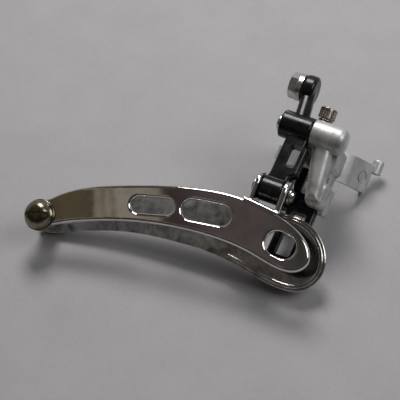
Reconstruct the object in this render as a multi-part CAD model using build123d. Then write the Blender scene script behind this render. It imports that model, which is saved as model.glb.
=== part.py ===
from build123d import *
import math
import os

# Front derailleur for a 28.6 mm seat tube, all sizes in millimetres.
# +Z up along the seat tube, +X towards the cage nose (forward), +Y inboard.
# The drive side is -Y. The origin is on the seat tube's axis, inside the saddle.

# ---- seat tube saddle ----
TUBE_R = 14.3            # seat tube outside radius
SADDLE_T = 2.7           # wall of the saddle
SADDLE_Z0, SADDLE_Z1 = -8.0, 2.6
KNUCKLE_R = 2.1
KNUCKLE_HOLE_R = 1.1     # bores for the strap's two pins
KNUCKLE_X = 17.3
RELIEF_R = 2.3           # room for the strap's knuckles
FRONT_Z0, FRONT_Z1 = 0.2, 5.4
REAR_Z0, REAR_Z1 = -6.4, -1.2

# ---- linkage, (y, z) of the four pivots ----
P1 = (-34.0, 2.6)        # outer arm on the body
P2 = (-40.0, -20.9)      # outer arm on the cage
P3 = (-23.0, -19.8)      # inner arm on the body
P4 = (P2[0] + P3[0] - P1[0], P2[1] + P3[1] - P1[1])   # inner arm on the cage
ARM_L = math.hypot(P2[0] - P1[0], P2[1] - P1[1])
ARM_A = -math.degrees(math.asin((P1[0] - P2[0]) / ARM_L))
PIN_R = 1.75
RUN = 0.05               # running clearance on every pivot

# ---- outer arm ----
O_X0, O_X1 = -13.1, -1.8
O_BAR_R = 4.8
O_LOW_X0, O_LOW_X1 = -10.2, -2.6
O_LOW_R = 4.4
ARM_T = 4.4
EYE_X0, EYE_X1 = -11.6, -7.0
EYE_Y, EYE_Z = -28.5, 17.1
EYE_R = 5.2

# ---- inner arm ----
I_X0, I_X1 = -3.6, 7.2
I_BAR_R = 3.2
I_LOW_R = 2.7

# ---- cage ----
EAR_R = 5.0
Y_OUT, T_OUT = -46.0, 1.5      # outer plate's show face and thickness
Y_IN, T_IN = -35.0, 1.2        # inner plate's outboard face and thickness
TAIL = (-78.9, -56.4)
SLOTS_OUT = [(-42.1, -39.8, 15.4, 5.6, 15.8),
             (-23.6, -35.7, 17.4, 7.0, 8.6),
             (3.9, -37.3, 10.6, 7.8, -6.0)]
INNER_WINDOW = (1.4, -36.4, 14.0, 9.0, -4.0)

# ---- screws ----
LIMIT_1 = (-0.7, -27.6)
LIMIT_2 = (5.6, -26.4)
LIMIT_R = 1.7
LIMIT_HEAD_R = 3.0
ANCHOR_R = 2.4
ANCHOR_AF = 8.0
TAIL_HEAD_R = 5.1
TAIL_HEAD_H = 5.0
TAIL_SCREW_R = 1.9

os.makedirs("parts", exist_ok=True)


def xcyl(r, x0, x1, y, z):
    return Pos((x0 + x1) / 2, y, z) * Rot(0, 90, 0) * Cylinder(r, x1 - x0)


def ycyl(r, y0, y1, x, z):
    return Pos(x, (y0 + y1) / 2, z) * Rot(90, 0, 0) * Cylinder(r, y1 - y0)


def zcyl(r, z0, z1, x, y):
    return Pos(x, y, (z0 + z1) / 2) * Cylinder(r, z1 - z0)


def box(x0, x1, y0, y1, z0, z1):
    return Pos((x0 + x1) / 2, (y0 + y1) / 2, (z0 + z1) / 2) * Box(x1 - x0, y1 - y0, z1 - z0)


def soft(part, edges, *radii):
    """Round the edges with the first radius that the solid takes."""
    for r in radii:
        try:
            out = part.fillet(r, edges)
            if out.is_valid and abs(out.volume) > 0:
                return out
        except Exception:
            continue
    return part


def plate(sketch, y0, t):
    """Extrude a sketch drawn in X-Z from y0 by t towards +Y."""
    return Pos(0, y0, 0) * extrude(Plane.XZ * sketch, amount=-t)


def slot(x, z, length, width, angle):
    return Pos(x, z) * Rot(0, 0, angle) * SlotOverall(length, width)


def outline(points):
    return make_face(Spline(*points, periodic=True))


def inset(points, d):
    """The same closed outline moved inwards by d (points run clockwise)."""
    out = []
    n = len(points)
    for i in range(n):
        (x0, z0), (x1, z1) = points[i - 1], points[(i + 1) % n]
        tx, tz = x1 - x0, z1 - z0
        k = math.hypot(tx, tz)
        out.append((points[i][0] + d * tz / k, points[i][1] - d * tx / k))
    return out


def save(part, name):
    export_step(part, os.path.join("parts", name + ".step"))


def arm_frame(y, z):
    return Pos(0, y, z) * Rot(ARM_A, 0, 0)


# =====================================================================
# body casting: saddle, back web, upper barrel, column, lower housing
# =====================================================================
ring = zcyl(TUBE_R + SADDLE_T, SADDLE_Z0, SADDLE_Z1, 0, 0)
ring -= zcyl(TUBE_R, SADDLE_Z0 - 1, SADDLE_Z1 + 1, 0, 0)
ring -= box(-40, 40, -2.0, 40, -40, 40)
front_k = zcyl(KNUCKLE_R, FRONT_Z0, FRONT_Z1, KNUCKLE_X, -1.6) + box(14.6, 16.6, -3.7, -1.0, FRONT_Z0, 2.6)
front_k = soft(front_k, front_k.edges().sort_by(Axis.Z)[-1:], 0.9, 0.5)
rear_k = zcyl(KNUCKLE_R, REAR_Z0, REAR_Z1, -KNUCKLE_X, -1.6)
ears = front_k + rear_k
upper = xcyl(4.9, -1.5, 10.4, *P1)
upper = soft(upper, upper.edges().sort_by(Axis.X)[-1:], 2.6, 1.5)
column = extrude(Plane.XZ * make_face(Polyline((0.1, 1.0), (6.6, 1.0), (8.2, -14.0), (8.6, -19.0), (3.6, -19.6), (0.15, -3.2), close=True)), amount=-6.0)
column = Pos(0, -36.4, 0) * column
column = soft(column, column.edges().filter_by(lambda e: abs(e.center().Y + 36.4) < 0.01), 2.4, 1.9, 1.4, 0.8)
housing = box(3.2, 9.8, -34.6, -24.0, -21.2, -11.6)
housing = soft(housing, housing.edges().filter_by(lambda e: e.center().Y < -26), 3.4, 2.6, 1.2)
lug = xcyl(3.4, 7.5, 9.8, *P3) + box(7.5, 9.8, P3[0] - 3.4, P3[0] + 3.4, P3[1], -13.0)
lug -= box(7, 12, -30, -15, -26, P3[1] - 2.5)
lug = soft(lug, lug.edges().filter_by(lambda e: e.center().X > 9.7 and e.center().Z < -14), 0.7, 0.4)
web = box(1.0, 7.2, -32.0, -14.9, -13.4, 1.2)
web = soft(web, web.edges().filter_by(Axis.Y).filter_by(lambda e: e.center().X > 5), 2.2, 1.2)
bridge_web = box(-3.0, 8.4, -31.0, -15.2, -7.6, 2.2)
bridge_web = soft(bridge_web, bridge_web.edges().filter_by(Axis.Y), 2.0, 1.0)
lug_1 = zcyl(3.1, -2.0, 6.3, *LIMIT_1) + box(LIMIT_1[0] - 2.4, LIMIT_1[0] + 3.0, -30.5, LIMIT_1[1], -2.0, 6.3)
lug_2 = zcyl(3.1, -6.0, 1.6, *LIMIT_2)
body = ring + ears + upper + column + housing + lug + web + bridge_web + lug_1 + lug_2
body -= zcyl(TUBE_R, -60, 60, 0, 0)
# the outer arm's barrel and its sweep keep clear of the casting
body -= xcyl(O_BAR_R + 0.4, -20, -1.5, *P1)
body -= xcyl(I_BAR_R + 0.4, -20, 7.45, *P3)
body -= box(-20, 7.45, -27.5, -17, -40, P3[1] + 1.6)
body -= Pos(0, P3[0], P3[1]) * Rot(-52, 0, 0) * box(-20, 7.45, -3.4, 3.4, -30, 0)
# bores
body -= xcyl(PIN_R, -3, 9.2, *P1)
body -= xcyl(PIN_R, 0, 9.2, *P3)
body -= zcyl(LIMIT_R + RUN, -20, 20, *LIMIT_1)
body -= zcyl(LIMIT_R + RUN, -14, 20, *LIMIT_2)
# the anti-rattle spring and head of the second screw stand in a pocket
body -= zcyl(LIMIT_HEAD_R + 0.35, 1.6, 12, *LIMIT_2)
body += soft(xcyl(4.9, -1.5, 10.4, *P1), xcyl(4.9, -1.5, 10.4, *P1).edges()[:0], 1) - xcyl(PIN_R, -3, 9.2, *P1) - xcyl(6.5, 7.0, 12, *P1) - zcyl(LIMIT_R + RUN, -20, 20, *LIMIT_1) - zcyl(LIMIT_HEAD_R + 0.35, 1.6, 12, *LIMIT_2)
# the strap's own knuckles stand above and below these, in reliefs cut into the saddle's ends
body -= zcyl(KNUCKLE_HOLE_R, FRONT_Z0 - 0.5, FRONT_Z1 + 1, KNUCKLE_X, -1.6)
body -= zcyl(KNUCKLE_HOLE_R, REAR_Z0 - 0.5, REAR_Z1 + 0.5, -KNUCKLE_X, -1.6)
body -= zcyl(RELIEF_R, -12, FRONT_Z0, KNUCKLE_X, -1.6)
body -= zcyl(RELIEF_R, REAR_Z1, 10, -KNUCKLE_X, -1.6)
body -= zcyl(RELIEF_R, -12, REAR_Z0, -KNUCKLE_X, -1.6)
# a plain shallow round pad on the saddle's forward flank
pad_a = math.radians(-30)
pad = Pos((TUBE_R + SADDLE_T) * math.cos(pad_a), (TUBE_R + SADDLE_T) * math.sin(pad_a), -3.2) * Rot(0, 0, -30) * Rot(0, 90, 0)
body -= pad * (Cylinder(2.5, 0.8) - Cylinder(1.7, 0.8))
save(body, "body_casting")

# =====================================================================
# outer arm, black, with the cable anchor's extension
# =====================================================================
flat = Polyline((-9.4, 0), (-1.9, 0), (-1.9, -6.2), (-0.5, -7.0), (-0.5, -17.0), (-2.7, -18.8), (-2.7, -ARM_L), (-9.9, -ARM_L), (-9.9, -21.4), (-9.4, -18.6), close=True)
oplate = extrude(Plane.XZ * make_face(flat), amount=-ARM_T)
oplate = Pos(0, -ARM_T / 2, 0) * oplate
win = extrude(Plane.XZ * (Pos(-4.4, -11.2) * RectangleRounded(3.9, 8.4, 0.9)), amount=-20)
oplate = soft(oplate, oplate.edges().filter_by(lambda e: abs(abs(e.center().Y) - ARM_T / 2) < 0.01), 1.0, 0.6)
oplate -= Pos(0, -10, 0) * win
outer_arm = arm_frame(*P1) * oplate
b1 = xcyl(O_BAR_R, O_X0, O_X1, *P1)
b1 = soft(b1, b1.edges().filter_by(GeomType.CIRCLE), 0.8, 0.4)
b2 = xcyl(O_LOW_R, O_LOW_X0, O_LOW_X1, *P2)
b2 = soft(b2, b2.edges().filter_by(GeomType.CIRCLE), 0.6, 0.3)
eye = xcyl(EYE_R, EYE_X0, EYE_X1, EYE_Y, EYE_Z)
eye = soft(eye, eye.edges().filter_by(GeomType.CIRCLE), 1.3, 0.8)
n0 = Pos(-6.9, P1[0], P1[1] + 0.5) * Rot(-21, 0, 0)
vy, vz = EYE_Y - P1[0], EYE_Z - P1[1]
na = math.degrees(math.atan2(vy, vz))
neck_sk0 = Plane(origin=(-7.0, P1[0], P1[1] + 1.0), x_dir=(1, 0, 0), z_dir=(0, math.sin(math.radians(na)), math.cos(math.radians(na)))) * RectangleRounded(5.1, 6.4, 2.3)
neck_sk1 = Plane(origin=((EYE_X0 + EYE_X1) / 2, EYE_Y, EYE_Z), x_dir=(1, 0, 0), z_dir=(0, math.sin(math.radians(na)), math.cos(math.radians(na)))) * RectangleRounded(4.6, 5.8, 2.1)
neck = loft([neck_sk0.face(), neck_sk1.face()])
outer_arm = outer_arm + b1 + b2 + neck + eye
outer_arm -= xcyl(PIN_R + RUN, -14, 0, *P1)
outer_arm -= xcyl(PIN_R + RUN, -14, 0, *P2)
outer_arm -= xcyl(ANCHOR_R + RUN, -14, EYE_X1 - 0.9, EYE_Y, EYE_Z)
save(outer_arm, "outer_arm")

# =====================================================================
# inner arm, black
# =====================================================================
iplate = Pos(0, -2.0, 0) * extrude(Plane.XZ * (Pos((I_X0 + I_X1) / 2, -ARM_L / 2) * Rectangle(I_X1 - I_X0, ARM_L)), amount=-4.0)
iplate = soft(iplate, iplate.edges().filter_by(Axis.Z), 1.0, 0.6)
iwin = Pos(0, -10, 0) * extrude(Plane.XZ * (Pos(1.9, -ARM_L / 2 - 0.8) * RectangleRounded(5.4, ARM_L - 7.6, 1.2)), amount=-20)
inner_arm = arm_frame(*P3) * (iplate - iwin)
i1 = xcyl(I_BAR_R, I_X0, I_X1, *P3)
i1 = soft(i1, i1.edges().filter_by(GeomType.CIRCLE), 0.6, 0.3)
i2 = xcyl(I_LOW_R, I_X0, I_X1, *P4)
i2 = soft(i2, i2.edges().filter_by(GeomType.CIRCLE), 0.5, 0.3)
# stop lever above the upper barrel, beside the column
lever = box(-3.6, -0.4, P3[0] - 3.6, P3[0] - 0.4, P3[1], P3[1] + 11.4)
lever = soft(lever, lever.edges().filter_by(lambda e: e.center().Z > P3[1] + 1), 0.8, 0.5)
inner_arm = inner_arm + i1 + i2 + lever
inner_arm -= xcyl(PIN_R + RUN, -10, 20, *P3)
inner_arm -= xcyl(PIN_R + RUN, -10, 20, *P4)
save(inner_arm, "inner_arm")

# =====================================================================
# cage, outer side: show plate with the folded bridge and its two ears
# =====================================================================
OUT = [(-77.2, -49.0), (-69.6, -43.2), (-58.0, -37.9), (-43.0, -32.6), (-28.6, -28.7), (-14.0, -26.9),
       (-2.0, -28.1), (6.6, -30.5), (12.6, -34.6), (14.7, -39.6), (12.4, -43.5), (7.0, -45.0), (-4.0, -43.5),
       (-19.2, -42.8), (-35.0, -44.6), (-49.0, -47.9), (-63.0, -52.9), (-74.3, -58.6),
       (-78.6, -60.7), (-82.4, -59.6), (-83.4, -55.6), (-81.2, -52.2)]
face = plate(outline(OUT), Y_OUT, T_OUT)
face = soft(face, face.edges().filter_by(lambda e: abs(e.center().Y - Y_OUT) < 0.05), 1.2, 0.9, 0.7, 0.5)
for s in SLOTS_OUT:
    face -= plate(slot(*s), Y_OUT - 1, 5)
for s in SLOTS_OUT:
    sel = face.edges().filter_by(lambda e: abs(e.center().Y - Y_OUT) < 0.02 and abs(e.center().X - s[0]) < s[2] / 2 + 0.6 and abs(e.center().Z - s[1]) < s[3] / 2 + 3.2)
    face = soft(face, sel, 1.0, 0.75, 0.5, 0.3)
tilt = math.degrees(math.atan2(-28.1 + 26.9, -2.0 + 14.0))
bx0, bx1 = -13.4, -0.4
top_z = -26.35
web_c = Pos(0, 0, 0)
fold = Pos(-7.2, (Y_OUT + Y_IN) / 2, -27.35) * Rot(0, 5.4, 0) * Box(bx1 - bx0, Y_IN - Y_OUT, 1.5)
fold = soft(fold, fold.edges().filter_by(lambda e: e.center().Y < Y_OUT + 0.1 and e.center().Z > -27.4), 1.1, 0.7)
flange = Pos(-7.2, Y_IN - 0.6, -29.8) * Rot(0, 5.4, 0) * Box(bx1 - bx0, 1.2, 5.6)
left_ear = xcyl(EAR_R, -12.0, -10.4, *P2) + box(-12.0, -10.4, P2[0] - EAR_R, P2[0] + EAR_R, -26.6, P2[1])
right_ear = xcyl(EAR_R, -2.4, -0.5, *P2) + box(-2.4, -0.5, P2[0] - EAR_R, P2[0] + EAR_R, -27.7, P2[1])
left_ear = soft(left_ear, left_ear.edges().filter_by(GeomType.CIRCLE), 0.6, 0.4, 0.25)
right_ear = soft(right_ear, right_ear.edges().filter_by(GeomType.CIRCLE), 0.8, 0.6, 0.4, 0.25)
cage_out = face + fold + flange + left_ear + right_ear
cage_out -= xcyl(PIN_R, -20, 5, *P2)
cage_out -= ycyl(TAIL_SCREW_R + RUN, -50, -40, *TAIL)
BR = [(-10.6, -30.4), (-3.8, -30.9)]
for x, z in BR:
    cage_out -= ycyl(1.1, Y_IN - 1.3, Y_IN + 1, x, z)
save(cage_out, "cage_outer_plate")

# =====================================================================
# cage, inner side: deeper plate with a raised bead round its nose
# =====================================================================
INN = [(-77.2, -49.4), (-69.6, -43.6), (-58.0, -38.3), (-43.0, -33.0), (-28.6, -29.2), (-14.0, -27.6),
       (-4.0, -27.0), (4.0, -26.2), (10.2, -27.9), (15.2, -31.7), (18.2, -37.6), (17.6, -44.4),
       (13.6, -48.9), (6.0, -50.7), (-5.0, -49.4), (-18.7, -47.6), (-34.0, -48.3), (-48.0, -50.3), (-62.0, -54.4),
       (-73.6, -59.4), (-78.6, -61.1), (-82.6, -59.8), (-83.4, -55.8), (-81.2, -52.4)]
nose_sk = outline(INN)
inner = plate(nose_sk, Y_IN, T_IN)
inner = soft(inner, inner.edges().filter_by(lambda e: abs(e.center().Y - Y_IN) < 0.05), 0.5, 0.35)
bead = plate(outline(inset(INN, 1.0)), Y_IN - 0.5, 0.8) - plate(outline(inset(INN, 2.3)), Y_IN - 2, 6)
bead = bead & box(-14.0, 40, -60, 0, -80, 0)
bead = soft(bead, bead.edges().filter_by(lambda e: abs(e.center().Y - Y_IN + 0.5) < 0.05 and e.length > 2), 0.4, 0.25)
inner = inner + bead
inner -= plate(slot(*INNER_WINDOW), Y_IN - 2, 5)
inner -= ycyl(TAIL_SCREW_R + RUN, -40, -30, *TAIL)
for x, z in BR:
    inner -= ycyl(1.1, -40, -30, x, z)
KR = [(-1.2, -46.4), (5.2, -46.4)]
for x, z in KR:
    inner -= ycyl(1.1, -40, -30, x, z)
save(inner, "cage_inner_plate")

# bracket on the inboard side that carries the inner arm's lower pivot
yb = Y_IN + T_IN
bracket = box(-5.2, 8.8, yb, yb + 1.2, -48.6, -41.6)
for x0 in (-5.2, 7.6):
    e = xcyl(3.2, x0, x0 + 1.2, *P4) + box(x0, x0 + 1.2, yb + 0.6, P4[0], P4[1] - 3.2, P4[1] + 3.2)
    bracket += e
bracket -= xcyl(PIN_R, -10, 20, *P4)
for x, z in KR:
    bracket -= ycyl(1.1, yb - 1, yb + 3, x, z)
save(bracket, "inner_pivot_bracket")


def rivet(x, z, y0, y1):
    r = ycyl(1.1, y0, y1, x, z)
    h = ycyl(1.9, y1, y1 + 0.7, x, z)
    h = soft(h, h.edges().filter_by(lambda e: e.center().Y > y1 + 0.6), 0.5, 0.3)
    return r + h


save(Compound(children=[rivet(x, z, Y_IN - 1.2, Y_IN + T_IN) for x, z in BR]), "bridge_rivets")
save(Compound(children=[rivet(x, z, Y_IN, Y_IN + T_IN + 1.2) for x, z in KR]), "bracket_rivets")

# =====================================================================
# tail spacer, slotted round-head screw and nut
# =====================================================================
sp = ycyl(3.6, Y_OUT + T_OUT, Y_IN, *TAIL)
sp -= ycyl(TAIL_SCREW_R + RUN, -60, -20, *TAIL)
save(sp, "tail_spacer")
head = Pos(TAIL[0], Y_OUT, TAIL[1]) * Rot(90, 0, 0) * Cylinder(TAIL_HEAD_R, TAIL_HEAD_H, align=(Align.CENTER, Align.CENTER, Align.MIN))
head = soft(head, head.edges().filter_by(lambda e: e.center().Y < Y_OUT - TAIL_HEAD_H + 0.1), 4.1, 3.6, 3.0, 2.4)
collar = ycyl(TAIL_HEAD_R + 0.45, Y_OUT - 0.9, Y_OUT, *TAIL)
collar = soft(collar, collar.edges().filter_by(lambda e: e.center().Y < Y_OUT - 0.8), 0.4, 0.3)
head += collar
head -= Pos(TAIL[0], Y_OUT - TAIL_HEAD_H, TAIL[1]) * Rot(0, -20, 0) * Box(20, 3.0, 1.3)
shank = ycyl(TAIL_SCREW_R, Y_OUT, Y_IN + T_IN + 3.4, *TAIL)
save(head + shank, "tail_screw")
nut = Pos(TAIL[0], Y_IN + T_IN, TAIL[1]) * Rot(-90, 0, 0) * extrude(RegularPolygon(3.6, 6, major_radius=False), amount=2.6)
nut -= ycyl(TAIL_SCREW_R, -60, -20, *TAIL)
nut = soft(nut, nut.edges().filter_by(lambda e: e.center().Y > Y_IN + T_IN + 2.5 and e.length > 3), 0.3)
save(nut, "tail_nut")


# =====================================================================
# pivot pins: a low round head at one end, a grooved tip for a clip
# =====================================================================
def pin(p, x_head, x_tip, head_r, groove=None):
    s = 1 if x_tip > x_head else -1
    sh = xcyl(PIN_R, min(x_head, x_tip), max(x_head, x_tip), *p)
    h = xcyl(head_r, min(x_head, x_head - s * 1.3), max(x_head, x_head - s * 1.3), *p)
    far = x_head - s * 1.3
    h = soft(h, h.edges().filter_by(lambda e: abs(e.center().X - far) < 0.01), 0.8, 0.5)
    out = sh + h
    if groove is not None:
        out -= xcyl(PIN_R + 1, groove, groove + 0.7, *p) - xcyl(1.3, groove - 1, groove + 2, *p)
    return out


save(pin(P1, O_X0 - 0.1, 9.2, 2.7), "upper_outer_pin")
save(pin(P2, -12.0, 1.2, 2.6, -0.35), "lower_outer_pin")
save(pin(P3, -7.9, 9.2, 2.7), "upper_inner_pin")
save(pin(P4, 8.8, -6.9, 2.6, -6.3), "lower_inner_pin")


def clip(p, x):
    c = xcyl(2.7, x, x + 0.6, *p) - xcyl(1.32, x - 1, x + 2, *p)
    return c - box(x - 1, x + 2, p[0] - 0.9, p[0] + 0.9, p[1], p[1] + 5)


save(clip(P2, -0.3), "lower_outer_clip")
save(clip(P4, -6.25), "lower_inner_clip")


# =====================================================================
# limit screws with knurled, slotted heads, and their anti-rattle springs
# =====================================================================
def knurled(x, y, z0, z1, tip):
    h = zcyl(LIMIT_HEAD_R, z0, z1, x, y)
    h = soft(h, h.edges().filter_by(GeomType.CIRCLE), 0.35)
    cuts = []
    n = 20
    for i in range(n):
        a = 2 * math.pi * i / n
        cuts.append(zcyl(0.28, z0 - 1, z1 - 0.9, x + (LIMIT_HEAD_R + 0.06) * math.cos(a), y + (LIMIT_HEAD_R + 0.06) * math.sin(a)))
    h -= cuts
    h -= Pos(x, y, z1) * Rot(0, 0, 20) * Box(20, 0.9, 2.6)
    return h + zcyl(LIMIT_R, tip, z0, x, y)


def coil(x, y, z0, z1, r, wire, turns):
    pitch = (z1 - z0 - wire) / turns
    path = Pos(x, y, z0 + wire / 2) * Helix(pitch=pitch, height=z1 - z0 - wire, radius=r)
    start = path @ 0
    tan = path % 0
    return sweep(Plane(origin=start, z_dir=tan) * Circle(wire / 2), path=path, is_frenet=True)


save(knurled(LIMIT_1[0], LIMIT_1[1], 9.4, 13.2, -4.5), "low_limit_screw")
save(knurled(LIMIT_2[0], LIMIT_2[1], 3.6, 7.4, -9.5), "high_limit_screw")
save(coil(LIMIT_1[0], LIMIT_1[1], 6.4, 9.3, 2.3, 0.6, 3.0), "low_limit_spring")
save(coil(LIMIT_2[0], LIMIT_2[1], 1.7, 3.5, 2.3, 0.5, 2.0), "high_limit_spring")

# return spring: torsion coil beside the inner arm's upper barrel
rs = coil(0, 0, 0, 3.6, 2.35, 0.7, 4.0)
save(Pos(-7.75, P3[0], P3[1]) * Rot(0, 90, 0) * rs, "return_spring")

# =====================================================================
# cable anchor: hex bolt and clamping washer
# =====================================================================
wx1 = EYE_X0
wx0 = wx1 - 2.0
washer = xcyl(4.9, wx0, wx1 - 0.06, EYE_Y, EYE_Z)
washer = soft(washer, washer.edges().filter_by(lambda e: abs(e.center().X - wx0) < 0.01), 0.35)
washer -= xcyl(ANCHOR_R + 0.15, -20, 0, EYE_Y, EYE_Z)
washer -= Pos(wx1, EYE_Y + 2.6, EYE_Z) * Cylinder(0.7, 12)
save(washer, "anchor_washer")
hex_h = Pos(wx0 - 2.7, EYE_Y, EYE_Z) * Rot(0, 90, 0) * Rot(0, 0, 8) * extrude(RegularPolygon(ANCHOR_AF / 2, 6, major_radius=False), amount=2.6)
cham = Pos(wx0 - 2.7, EYE_Y, EYE_Z) * Rot(0, 90, 0) * Cone(ANCHOR_AF / 2 * 1.02, ANCHOR_AF / 2 * 1.02 + 6.2, 3.4, align=(Align.CENTER, Align.CENTER, Align.MIN))
hex_h = hex_h & cham
bolt = hex_h + xcyl(ANCHOR_R, wx0 - 0.2, EYE_X1 - 1.1, EYE_Y, EYE_Z)
save(bolt, "anchor_bolt")
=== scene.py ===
import math
import bpy
import bmesh
from mathutils import Vector, Matrix

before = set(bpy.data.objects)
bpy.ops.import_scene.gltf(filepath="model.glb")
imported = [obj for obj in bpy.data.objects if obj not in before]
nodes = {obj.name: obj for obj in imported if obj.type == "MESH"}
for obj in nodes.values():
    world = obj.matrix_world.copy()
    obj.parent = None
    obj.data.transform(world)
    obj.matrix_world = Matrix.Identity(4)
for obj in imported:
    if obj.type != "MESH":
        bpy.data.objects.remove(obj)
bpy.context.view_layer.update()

MM = 0.001

# ------------------------------------------------------------------ camera
AZ, EL, ROLL, DIST = math.radians(17), math.radians(3), math.radians(21), 0.400
TARGET = Vector((-0.02696, -0.046, -0.03254))
fwd = Vector((-math.sin(AZ) * math.cos(EL), math.cos(AZ) * math.cos(EL), math.sin(EL)))
right0 = Vector((math.cos(AZ), math.sin(AZ), 0.0))
up0 = right0.cross(fwd)
right = right0 * math.cos(ROLL) + up0 * math.sin(ROLL)
up = -right0 * math.sin(ROLL) + up0 * math.cos(ROLL)
cam_data = bpy.data.cameras.new("camera")
cam = bpy.data.objects.new("camera", cam_data)
bpy.context.scene.collection.objects.link(cam)
m = Matrix((right, up, -fwd)).transposed().to_4x4()
m.translation = TARGET - fwd * DIST
cam.matrix_world = m
cam_data.sensor_width = 36.0
cam_data.lens = 108.0
cam_data.clip_start = 0.01
cam_data.clip_end = 10
cam_data.dof.use_dof = False
bpy.context.scene.camera = cam

# ------------------------------------------------------------------ node helpers


def new_mat(name):
    mat = bpy.data.materials.new(name)
    mat.use_nodes = True
    nt = mat.node_tree
    nt.nodes.clear()
    out = nt.nodes.new("ShaderNodeOutputMaterial")
    bsdf = nt.nodes.new("ShaderNodeBsdfPrincipled")
    nt.links.new(bsdf.outputs[0], out.inputs[0])
    return mat, nt, bsdf, out


def coords(nt, scale=(1, 1, 1), rot=(0, 0, 0)):
    tc = nt.nodes.new("ShaderNodeTexCoord")
    mp = nt.nodes.new("ShaderNodeMapping")
    mp.inputs["Scale"].default_value = scale
    mp.inputs["Rotation"].default_value = rot
    nt.links.new(tc.outputs["Object"], mp.inputs["Vector"])
    return mp.outputs["Vector"]


def noise(nt, vec, scale, detail=4.0, rough=0.55, dist=0.0):
    n = nt.nodes.new("ShaderNodeTexNoise")
    n.inputs["Scale"].default_value = scale
    n.inputs["Detail"].default_value = detail
    n.inputs["Roughness"].default_value = rough
    n.inputs["Distortion"].default_value = dist
    nt.links.new(vec, n.inputs["Vector"])
    return n.outputs["Fac"]


def ramp(nt, fac, stops, interp="LINEAR"):
    r = nt.nodes.new("ShaderNodeValToRGB")
    r.color_ramp.interpolation = interp
    el = r.color_ramp.elements
    while len(el) < len(stops):
        el.new(0.5)
    for e, (p, c) in zip(el, stops):
        e.position = p
        e.color = c if len(c) == 4 else (*c, 1)
    nt.links.new(fac, r.inputs["Fac"])
    return r.outputs["Color"]


def span(nt, fac, a0, a1, b0, b1):
    r = nt.nodes.new("ShaderNodeMapRange")
    r.inputs["From Min"].default_value = a0
    r.inputs["From Max"].default_value = a1
    r.inputs["To Min"].default_value = b0
    r.inputs["To Max"].default_value = b1
    nt.links.new(fac, r.inputs["Value"])
    return r.outputs["Result"]


def math_node(nt, op, a, b=None, clamp=False):
    n = nt.nodes.new("ShaderNodeMath")
    n.operation = op
    n.use_clamp = clamp
    for i, v in enumerate((a, b)):
        if v is None:
            continue
        if isinstance(v, (int, float)):
            n.inputs[i].default_value = v
        else:
            nt.links.new(v, n.inputs[i])
    return n.outputs[0]


def bump(nt, bsdf, height, strength, dist, prev=None):
    b = nt.nodes.new("ShaderNodeBump")
    b.inputs["Strength"].default_value = strength
    b.inputs["Distance"].default_value = dist
    nt.links.new(height, b.inputs["Height"])
    if prev is not None:
        nt.links.new(prev, b.inputs["Normal"])
    nt.links.new(b.outputs["Normal"], bsdf.inputs["Normal"])
    return b.outputs["Normal"]


def mixc(nt, fac, a, b):
    n = nt.nodes.new("ShaderNodeMix")
    n.data_type = "RGBA"
    for key, v in ((0, fac), (6, a), (7, b)):
        if isinstance(v, (int, float)):
            n.inputs[key].default_value = v
        elif isinstance(v, (tuple, list)):
            n.inputs[key].default_value = (*v, 1) if len(v) == 3 else v
        else:
            nt.links.new(v, n.inputs[key])
    return n.outputs[2]


# ------------------------------------------------------------------ materials


def chrome_material():
    """Mirror chrome over pressed steel: faint waviness, hairline scratches, smudges and a few dull pits."""
    mat, nt, b, _ = new_mat("chrome_plate")
    v = coords(nt)
    smudge = noise(nt, v, 120, 5, 0.6)
    vs = coords(nt, (60, 60, 900), (0, 0.35, 0))
    hair = noise(nt, vs, 4.0, 6, 0.7)
    vs2 = coords(nt, (700, 60, 70), (0, -0.15, 0.1))
    hair2 = noise(nt, vs2, 4.0, 6, 0.7)
    base = ramp(nt, smudge, [(0.30, (0.60, 0.58, 0.55)), (0.52, (0.74, 0.73, 0.71)), (0.75, (0.80, 0.79, 0.78))])
    pits = noise(nt, v, 1400, 2, 0.5)
    pit_m = span(nt, pits, 0.73, 0.80, 0.0, 1.0)
    col = mixc(nt, pit_m, base, (0.20, 0.17, 0.13))
    nt.links.new(col, b.inputs["Base Color"])
    b.inputs["Metallic"].default_value = 1.0
    r0 = span(nt, smudge, 0.42, 0.75, 0.015, 0.05)
    r1 = span(nt, hair, 0.66, 0.82, 0.0, 0.10)
    r = math_node(nt, "ADD", r0, r1, True)
    nt.links.new(r, b.inputs["Roughness"])
    wave = noise(nt, v, 55, 1.5, 0.4)
    n1 = bump(nt, b, wave, 0.12, 0.00018)
    n2 = bump(nt, b, hair, 0.05, 0.000006, n1)
    bump(nt, b, hair2, 0.05, 0.000006, n2)
    return mat


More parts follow.
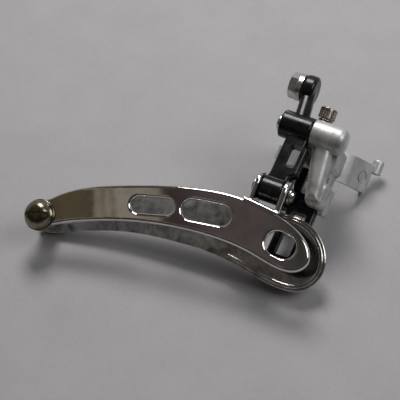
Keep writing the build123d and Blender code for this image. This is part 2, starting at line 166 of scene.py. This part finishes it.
def inner_plate_material():
    """The inner plate: bright at the nose, dulled and streaked by the chain along its length, with painted shade from
    the outer plate darkening its colour towards the tail.
    """
    mat, nt, b, _ = new_mat("worn_and_painted_shade_chrome_plate")
    v = coords(nt)
    sep = nt.nodes.new("ShaderNodeSeparateXYZ")
    tc = nt.nodes.new("ShaderNodeTexCoord")
    nt.links.new(tc.outputs["Object"], sep.inputs[0])
    # along X: 0 at the tail, 1 towards the nose; blends from the darker tone (chain wear plus painted shade) to
    # bright chrome
    along = span(nt, sep.outputs["X"], -0.022, 0.002, 0.0, 1.0)
    mott = noise(nt, v, 210, 6, 0.66, 0.6)
    fine = noise(nt, v, 1500, 3, 0.6)
    streak = noise(nt, coords(nt, (40, 40, 700), (0, 0.4, 0)), 4.0, 6, 0.7)
    # darker tail tone: chain-wear mottling plus painted shade from the outer plate in front of it
    worn = ramp(nt, mott, [(0.36, (0.20, 0.20, 0.19)), (0.50, (0.44, 0.44, 0.44)), (0.66, (0.66, 0.66, 0.66))])
    bright = ramp(nt, mott, [(0.38, (0.42, 0.40, 0.35)), (0.55, (0.74, 0.73, 0.71)), (0.72, (0.80, 0.79, 0.78))])
    nt.links.new(mixc(nt, along, worn, bright), b.inputs["Base Color"])
    b.inputs["Metallic"].default_value = 1.0
    ra = span(nt, streak, 0.3, 0.8, 0.34, 0.50)
    rb = span(nt, mott, 0.35, 0.70, 0.12, 0.03)
    rr = nt.nodes.new("ShaderNodeMix")
    rr.data_type = "FLOAT"
    nt.links.new(along, rr.inputs[0])
    nt.links.new(ra, rr.inputs[2])
    nt.links.new(rb, rr.inputs[3])
    nt.links.new(rr.outputs[0], b.inputs["Roughness"])
    n1 = bump(nt, b, mott, 0.4, 0.00010)
    n2 = bump(nt, b, streak, 0.35, 0.00002, n1)
    bump(nt, b, fine, 0.2, 0.00001, n2)
    return mat


def black_material():
    """Glossy black over aluminium: orange-peel, dust-fine specks, thin bare rubs."""
    mat, nt, b, _ = new_mat("black_anodised")
    v = coords(nt)
    big = noise(nt, v, 260, 5, 0.62)
    fine = noise(nt, v, 2600, 3, 0.6)
    base = ramp(nt, big, [(0.35, (0.003, 0.003, 0.0033)), (0.7, (0.008, 0.008, 0.0088))])
    worn = span(nt, math_node(nt, "MULTIPLY", big, fine), 0.385, 0.44, 0.0, 1.0)
    col = mixc(nt, worn, base, (0.16, 0.155, 0.15))
    nt.links.new(col, b.inputs["Base Color"])
    nt.links.new(span(nt, big, 0.3, 0.75, 0.20, 0.36), b.inputs["Roughness"])
    b.inputs["Specular IOR Level"].default_value = 0.32
    b.inputs["Coat Weight"].default_value = 0.06
    b.inputs["Coat Roughness"].default_value = 0.08
    n1 = bump(nt, b, big, 0.25, 0.00006)
    bump(nt, b, fine, 0.12, 0.00001, n1)
    return mat


def cast_material():
    """Satin cast and tumbled aluminium: soft mottling, fine grain, faint scratches."""
    mat, nt, b, _ = new_mat("cast_aluminium")
    v = coords(nt)
    big = noise(nt, v, 160, 4, 0.55)
    fine = noise(nt, v, 2200, 4, 0.65)
    vs = coords(nt, (900, 120, 90), (0.2, 0.1, 0.3))
    hair = noise(nt, vs, 3.0, 6, 0.7)
    base = ramp(nt, big, [(0.30, (0.36, 0.36, 0.35)), (0.50, (0.55, 0.55, 0.54)), (0.70, (0.67, 0.67, 0.66))])
    dirt = span(nt, math_node(nt, "MULTIPLY", big, fine), 0.12, 0.19, 1.0, 0.0)
    col = mixc(nt, math_node(nt, "MULTIPLY", dirt, 0.7), base, (0.24, 0.23, 0.21))
    run = noise(nt, coords(nt, (420, 420, 60), (0.05, 0.08, 0)), 1.0, 5, 0.65)
    col = mixc(nt, span(nt, run, 0.50, 0.68, 0.0, 0.55), col, (0.27, 0.265, 0.255))
    nt.links.new(col, b.inputs["Base Color"])
    b.inputs["Metallic"].default_value = 0.7
    r = math_node(nt, "ADD", span(nt, big, 0.3, 0.8, 0.50, 0.34), span(nt, fine, 0.3, 0.8, 0.0, 0.12), True)
    nt.links.new(r, b.inputs["Roughness"])
    n1 = bump(nt, b, big, 0.5, 0.00018)
    n2 = bump(nt, b, fine, 0.35, 0.000025, n1)
    bump(nt, b, hair, 0.2, 0.00001, n2)
    return mat


def steel_material(name, light, dark, rust, amount, rough):
    """Plated steel fastener: uneven plating with a dark film in random patches, a few rust freckles."""
    mat, nt, b, _ = new_mat(name)
    v = coords(nt)
    big = noise(nt, v, 420, 5, 0.6)
    fine = noise(nt, v, 3200, 3, 0.6)
    base = ramp(nt, big, [(0.34, dark), (0.56, light), (0.8, tuple(min(1.0, c * 1.12) for c in light))])
    spots = span(nt, math_node(nt, "MULTIPLY", big, fine), amount, amount + 0.05, 0.0, 1.0)
    col = mixc(nt, spots, base, rust)
    nt.links.new(col, b.inputs["Base Color"])
    b.inputs["Metallic"].default_value = 1.0
    nt.links.new(math_node(nt, "ADD", span(nt, big, 0.3, 0.75, rough + 0.10, rough), span(nt, fine, 0.35, 0.8, 0.0, 0.08), True), b.inputs["Roughness"])
    n1 = bump(nt, b, big, 0.25, 0.00004)
    bump(nt, b, fine, 0.18, 0.00001, n1)
    return mat


chrome = chrome_material()
worn_and_painted_shade_chrome = inner_plate_material()
black = black_material()
cast = cast_material()
steel = steel_material("nickel_steel", (0.74, 0.735, 0.73), (0.40, 0.385, 0.37), (0.20, 0.13, 0.09), 0.35, 0.20)
zinc = steel_material("aged_zinc", (0.50, 0.46, 0.40), (0.22, 0.19, 0.16), (0.16, 0.09, 0.05), 0.30, 0.22)
# tail screw and nut: the dark olive colour is a painted reflection of the olive surroundings on the nickel; the rust
# freckles are real
olive = steel_material("nickel_painted_olive_reflection", (0.25, 0.23, 0.165), (0.12, 0.105, 0.07), (0.06, 0.04, 0.025), 0.32, 0.15)
springm = steel_material("spring_wire", (0.40, 0.37, 0.33), (0.15, 0.13, 0.11), (0.13, 0.07, 0.04), 0.30, 0.25)

PAINT = {
    "body_casting": cast,
    "outer_arm": black, "inner_arm": black,
    "cage_outer_plate": chrome, "cage_inner_plate": worn_and_painted_shade_chrome, "inner_pivot_bracket": worn_and_painted_shade_chrome,
    "bridge_rivets": steel, "bracket_rivets": worn_and_painted_shade_chrome,
    "upper_outer_pin": steel, "lower_outer_pin": steel, "upper_inner_pin": steel, "lower_inner_pin": steel,
    "lower_outer_clip": springm, "lower_inner_clip": springm,
    "return_spring": springm, "low_limit_spring": springm, "high_limit_spring": springm,
    "low_limit_screw": zinc, "high_limit_screw": zinc,
    "anchor_bolt": steel, "anchor_washer": steel,
    # tail screw and nut take the nickel with the painted olive reflection
    "tail_spacer": steel, "tail_screw": olive, "tail_nut": olive,
}
for name, ob in nodes.items():
    mat = PAINT.get(name, steel)
    if ob.type != "MESH":
        continue
    if not ob.material_slots:
        ob.data.materials.append(mat)
    for s in ob.material_slots:
        s.material = mat

# ------------------------------------------------------------------ the table under the object
pts = []
for ob in nodes.values():
    if ob.type == "MESH":
        mw = ob.matrix_world
        pts += [mw @ v.co for v in ob.data.vertices]
target = (-fwd * math.cos(math.radians(38)) + up * math.sin(math.radians(38))).normalized()


def support(n):
    return min(p.dot(n) for p in pts)


low = sorted(pts, key=lambda p: p.dot(target))[:6000]
bm = bmesh.new()
for p in low:
    bm.verts.new(p)
hull = bmesh.ops.convex_hull(bm, input=bm.verts)
best, best_n = -2, target
for f in bm.faces:
    n = f.normal.normalized()
    if f.calc_area() < 2e-4:
        continue
    for s in (1, -1):
        if (n * s).dot(target) > best and all((p.dot(n * s) >= f.verts[0].co.dot(n * s) - 1e-4) for p in low[::40]):
            best, best_n = (n * s).dot(target), n * s
bm.free()
print("TABLE", tuple(round(c, 3) for c in best_n), "angle to target", round(math.degrees(math.acos(min(1, best))), 1))
table_n = best_n
h = support(table_n)
bm = bmesh.new()
tx = (up - table_n * up.dot(table_n)).normalized()
ty = table_n.cross(tx)
c0 = TARGET - table_n * (TARGET.dot(table_n) - h)
for sx, sy in ((-1, -1), (1, -1), (1, 1), (-1, 1)):
    bm.verts.new(c0 + tx * 0.9 * sx + ty * 0.9 * sy)
face = bm.faces.new(bm.verts)
face.normal_update()
if face.normal.dot(table_n) < 0:
    face.normal_flip()
me = bpy.data.meshes.new("floor")
bm.to_mesh(me)
bm.free()
floor = bpy.data.objects.new("floor", me)
bpy.context.scene.collection.objects.link(floor)
fm, nt, b, out = new_mat("pale_floor")
v = coords(nt)
n1 = noise(nt, v, 40, 4, 0.6)
n2 = noise(nt, v, 900, 2, 0.6)
col = ramp(nt, math_node(nt, "ADD", math_node(nt, "MULTIPLY", n1, 0.6), math_node(nt, "MULTIPLY", n2, 0.4)), [(0.35, (0.360, 0.350, 0.358)), (0.65, (0.400, 0.389, 0.398))])
nt.links.new(col, b.inputs["Base Color"])
b.inputs["Roughness"].default_value = 0.75
b.inputs["Specular IOR Level"].default_value = 0.2
tr = nt.nodes.new("ShaderNodeBsdfTransparent")
mx = nt.nodes.new("ShaderNodeMixShader")
geo = nt.nodes.new("ShaderNodeNewGeometry")
nt.links.new(geo.outputs["Backfacing"], mx.inputs[0])
nt.links.new(b.outputs[0], mx.inputs[1])
nt.links.new(tr.outputs[0], mx.inputs[2])
nt.links.new(mx.outputs[0], out.inputs[0])
floor.data.materials.append(fm)

# ------------------------------------------------------------------ light


def area(name, pos, look, size, energy, color=(1, 1, 1), size_y=None):
    d = bpy.data.lights.new(name, "AREA")
    d.shape = "RECTANGLE"
    d.size = size
    d.size_y = size_y or size
    d.energy = energy
    d.color = color
    o = bpy.data.objects.new(name, d)
    bpy.context.scene.collection.objects.link(o)
    o.location = pos
    o.rotation_euler = (Vector(look) - Vector(pos)).to_track_quat("-Z", "Y").to_euler()
    return o


mid = Vector((-0.02, -0.03, -0.02))
away = (up - table_n * up.dot(table_n)).normalized()
side = right
area("key", mid + table_n * 0.54 + away * 0.38 - side * 0.03, mid, 0.28, 3.3, (1.0, 0.99, 0.985), 0.22)
area("fill", mid + table_n * 0.58 - away * 0.14 + side * 0.46, mid, 0.40, 1.9, (0.97, 0.98, 1.0))

world = bpy.data.worlds.new("world")
bpy.context.scene.world = world
world.use_nodes = True
wn = world.node_tree
wn.nodes.clear()
wo = wn.nodes.new("ShaderNodeOutputWorld")
bg = wn.nodes.new("ShaderNodeBackground")
wn.links.new(bg.outputs[0], wo.inputs[0])
tc = wn.nodes.new("ShaderNodeTexCoord")


def dotv(vec, d):
    n = wn.nodes.new("ShaderNodeVectorMath")
    n.operation = "DOT_PRODUCT"
    wn.links.new(vec, n.inputs[0])
    n.inputs[1].default_value = tuple(d)
    return n.outputs["Value"]


gen = tc.outputs["Generated"]
u_up = dotv(gen, away)
u_rt = dotv(gen, right)
u_tb = dotv(gen, table_n)
# room: bright window side beyond the table's far edge, dim room behind the viewer
roomc = ramp(wn, span(wn, u_up, -1, 1, 0, 1), [(0.0, (0.030, 0.029, 0.028)), (0.45, (0.035, 0.034, 0.034)), (0.62, (0.13, 0.13, 0.13)), (0.84, (0.42, 0.42, 0.43)), (1.0, (0.36, 0.36, 0.37))])
# opposite the show plate: an olive wall with paler upright streaks, then dark brown


def px(x):
    return (-0.487 + 0.869 * (x - 200) / 1200 + 0.62) / 0.24


dark = ramp(wn, span(wn, u_rt, -0.62, -0.38, 0, 1), [
    (0.0, (0.085, 0.070, 0.045)), (px(84), (0.078, 0.063, 0.038)), (px(96), (0.070, 0.058, 0.038)),
    (px(98), (0.21, 0.185, 0.145)), (px(104), (0.20, 0.172, 0.135)), (px(106), (0.13, 0.11, 0.085)), (px(109), (0.26, 0.23, 0.185)), (px(113), (0.14, 0.12, 0.10)),
    (px(118), (0.25, 0.22, 0.18)), (px(158), (0.20, 0.175, 0.145)), (px(164), (0.060, 0.046, 0.040)),
    (px(172), (0.040, 0.030, 0.027)), (px(215), (0.078, 0.063, 0.063)), (px(262), (0.078, 0.064, 0.064)), (px(300), (0.042, 0.040, 0.036)), (1.0, (0.05, 0.048, 0.045))])
patch = span(wn, u_tb, 0.45, 0.66, 0.0, 1.0)
wcol = mixc(wn, patch, roomc, dark)
wn.links.new(wcol, bg.inputs["Color"])
bg.inputs["Strength"].default_value = 1.0

bpy.context.scene.view_settings.view_transform = "Standard"
bpy.context.scene.view_settings.look = "None"
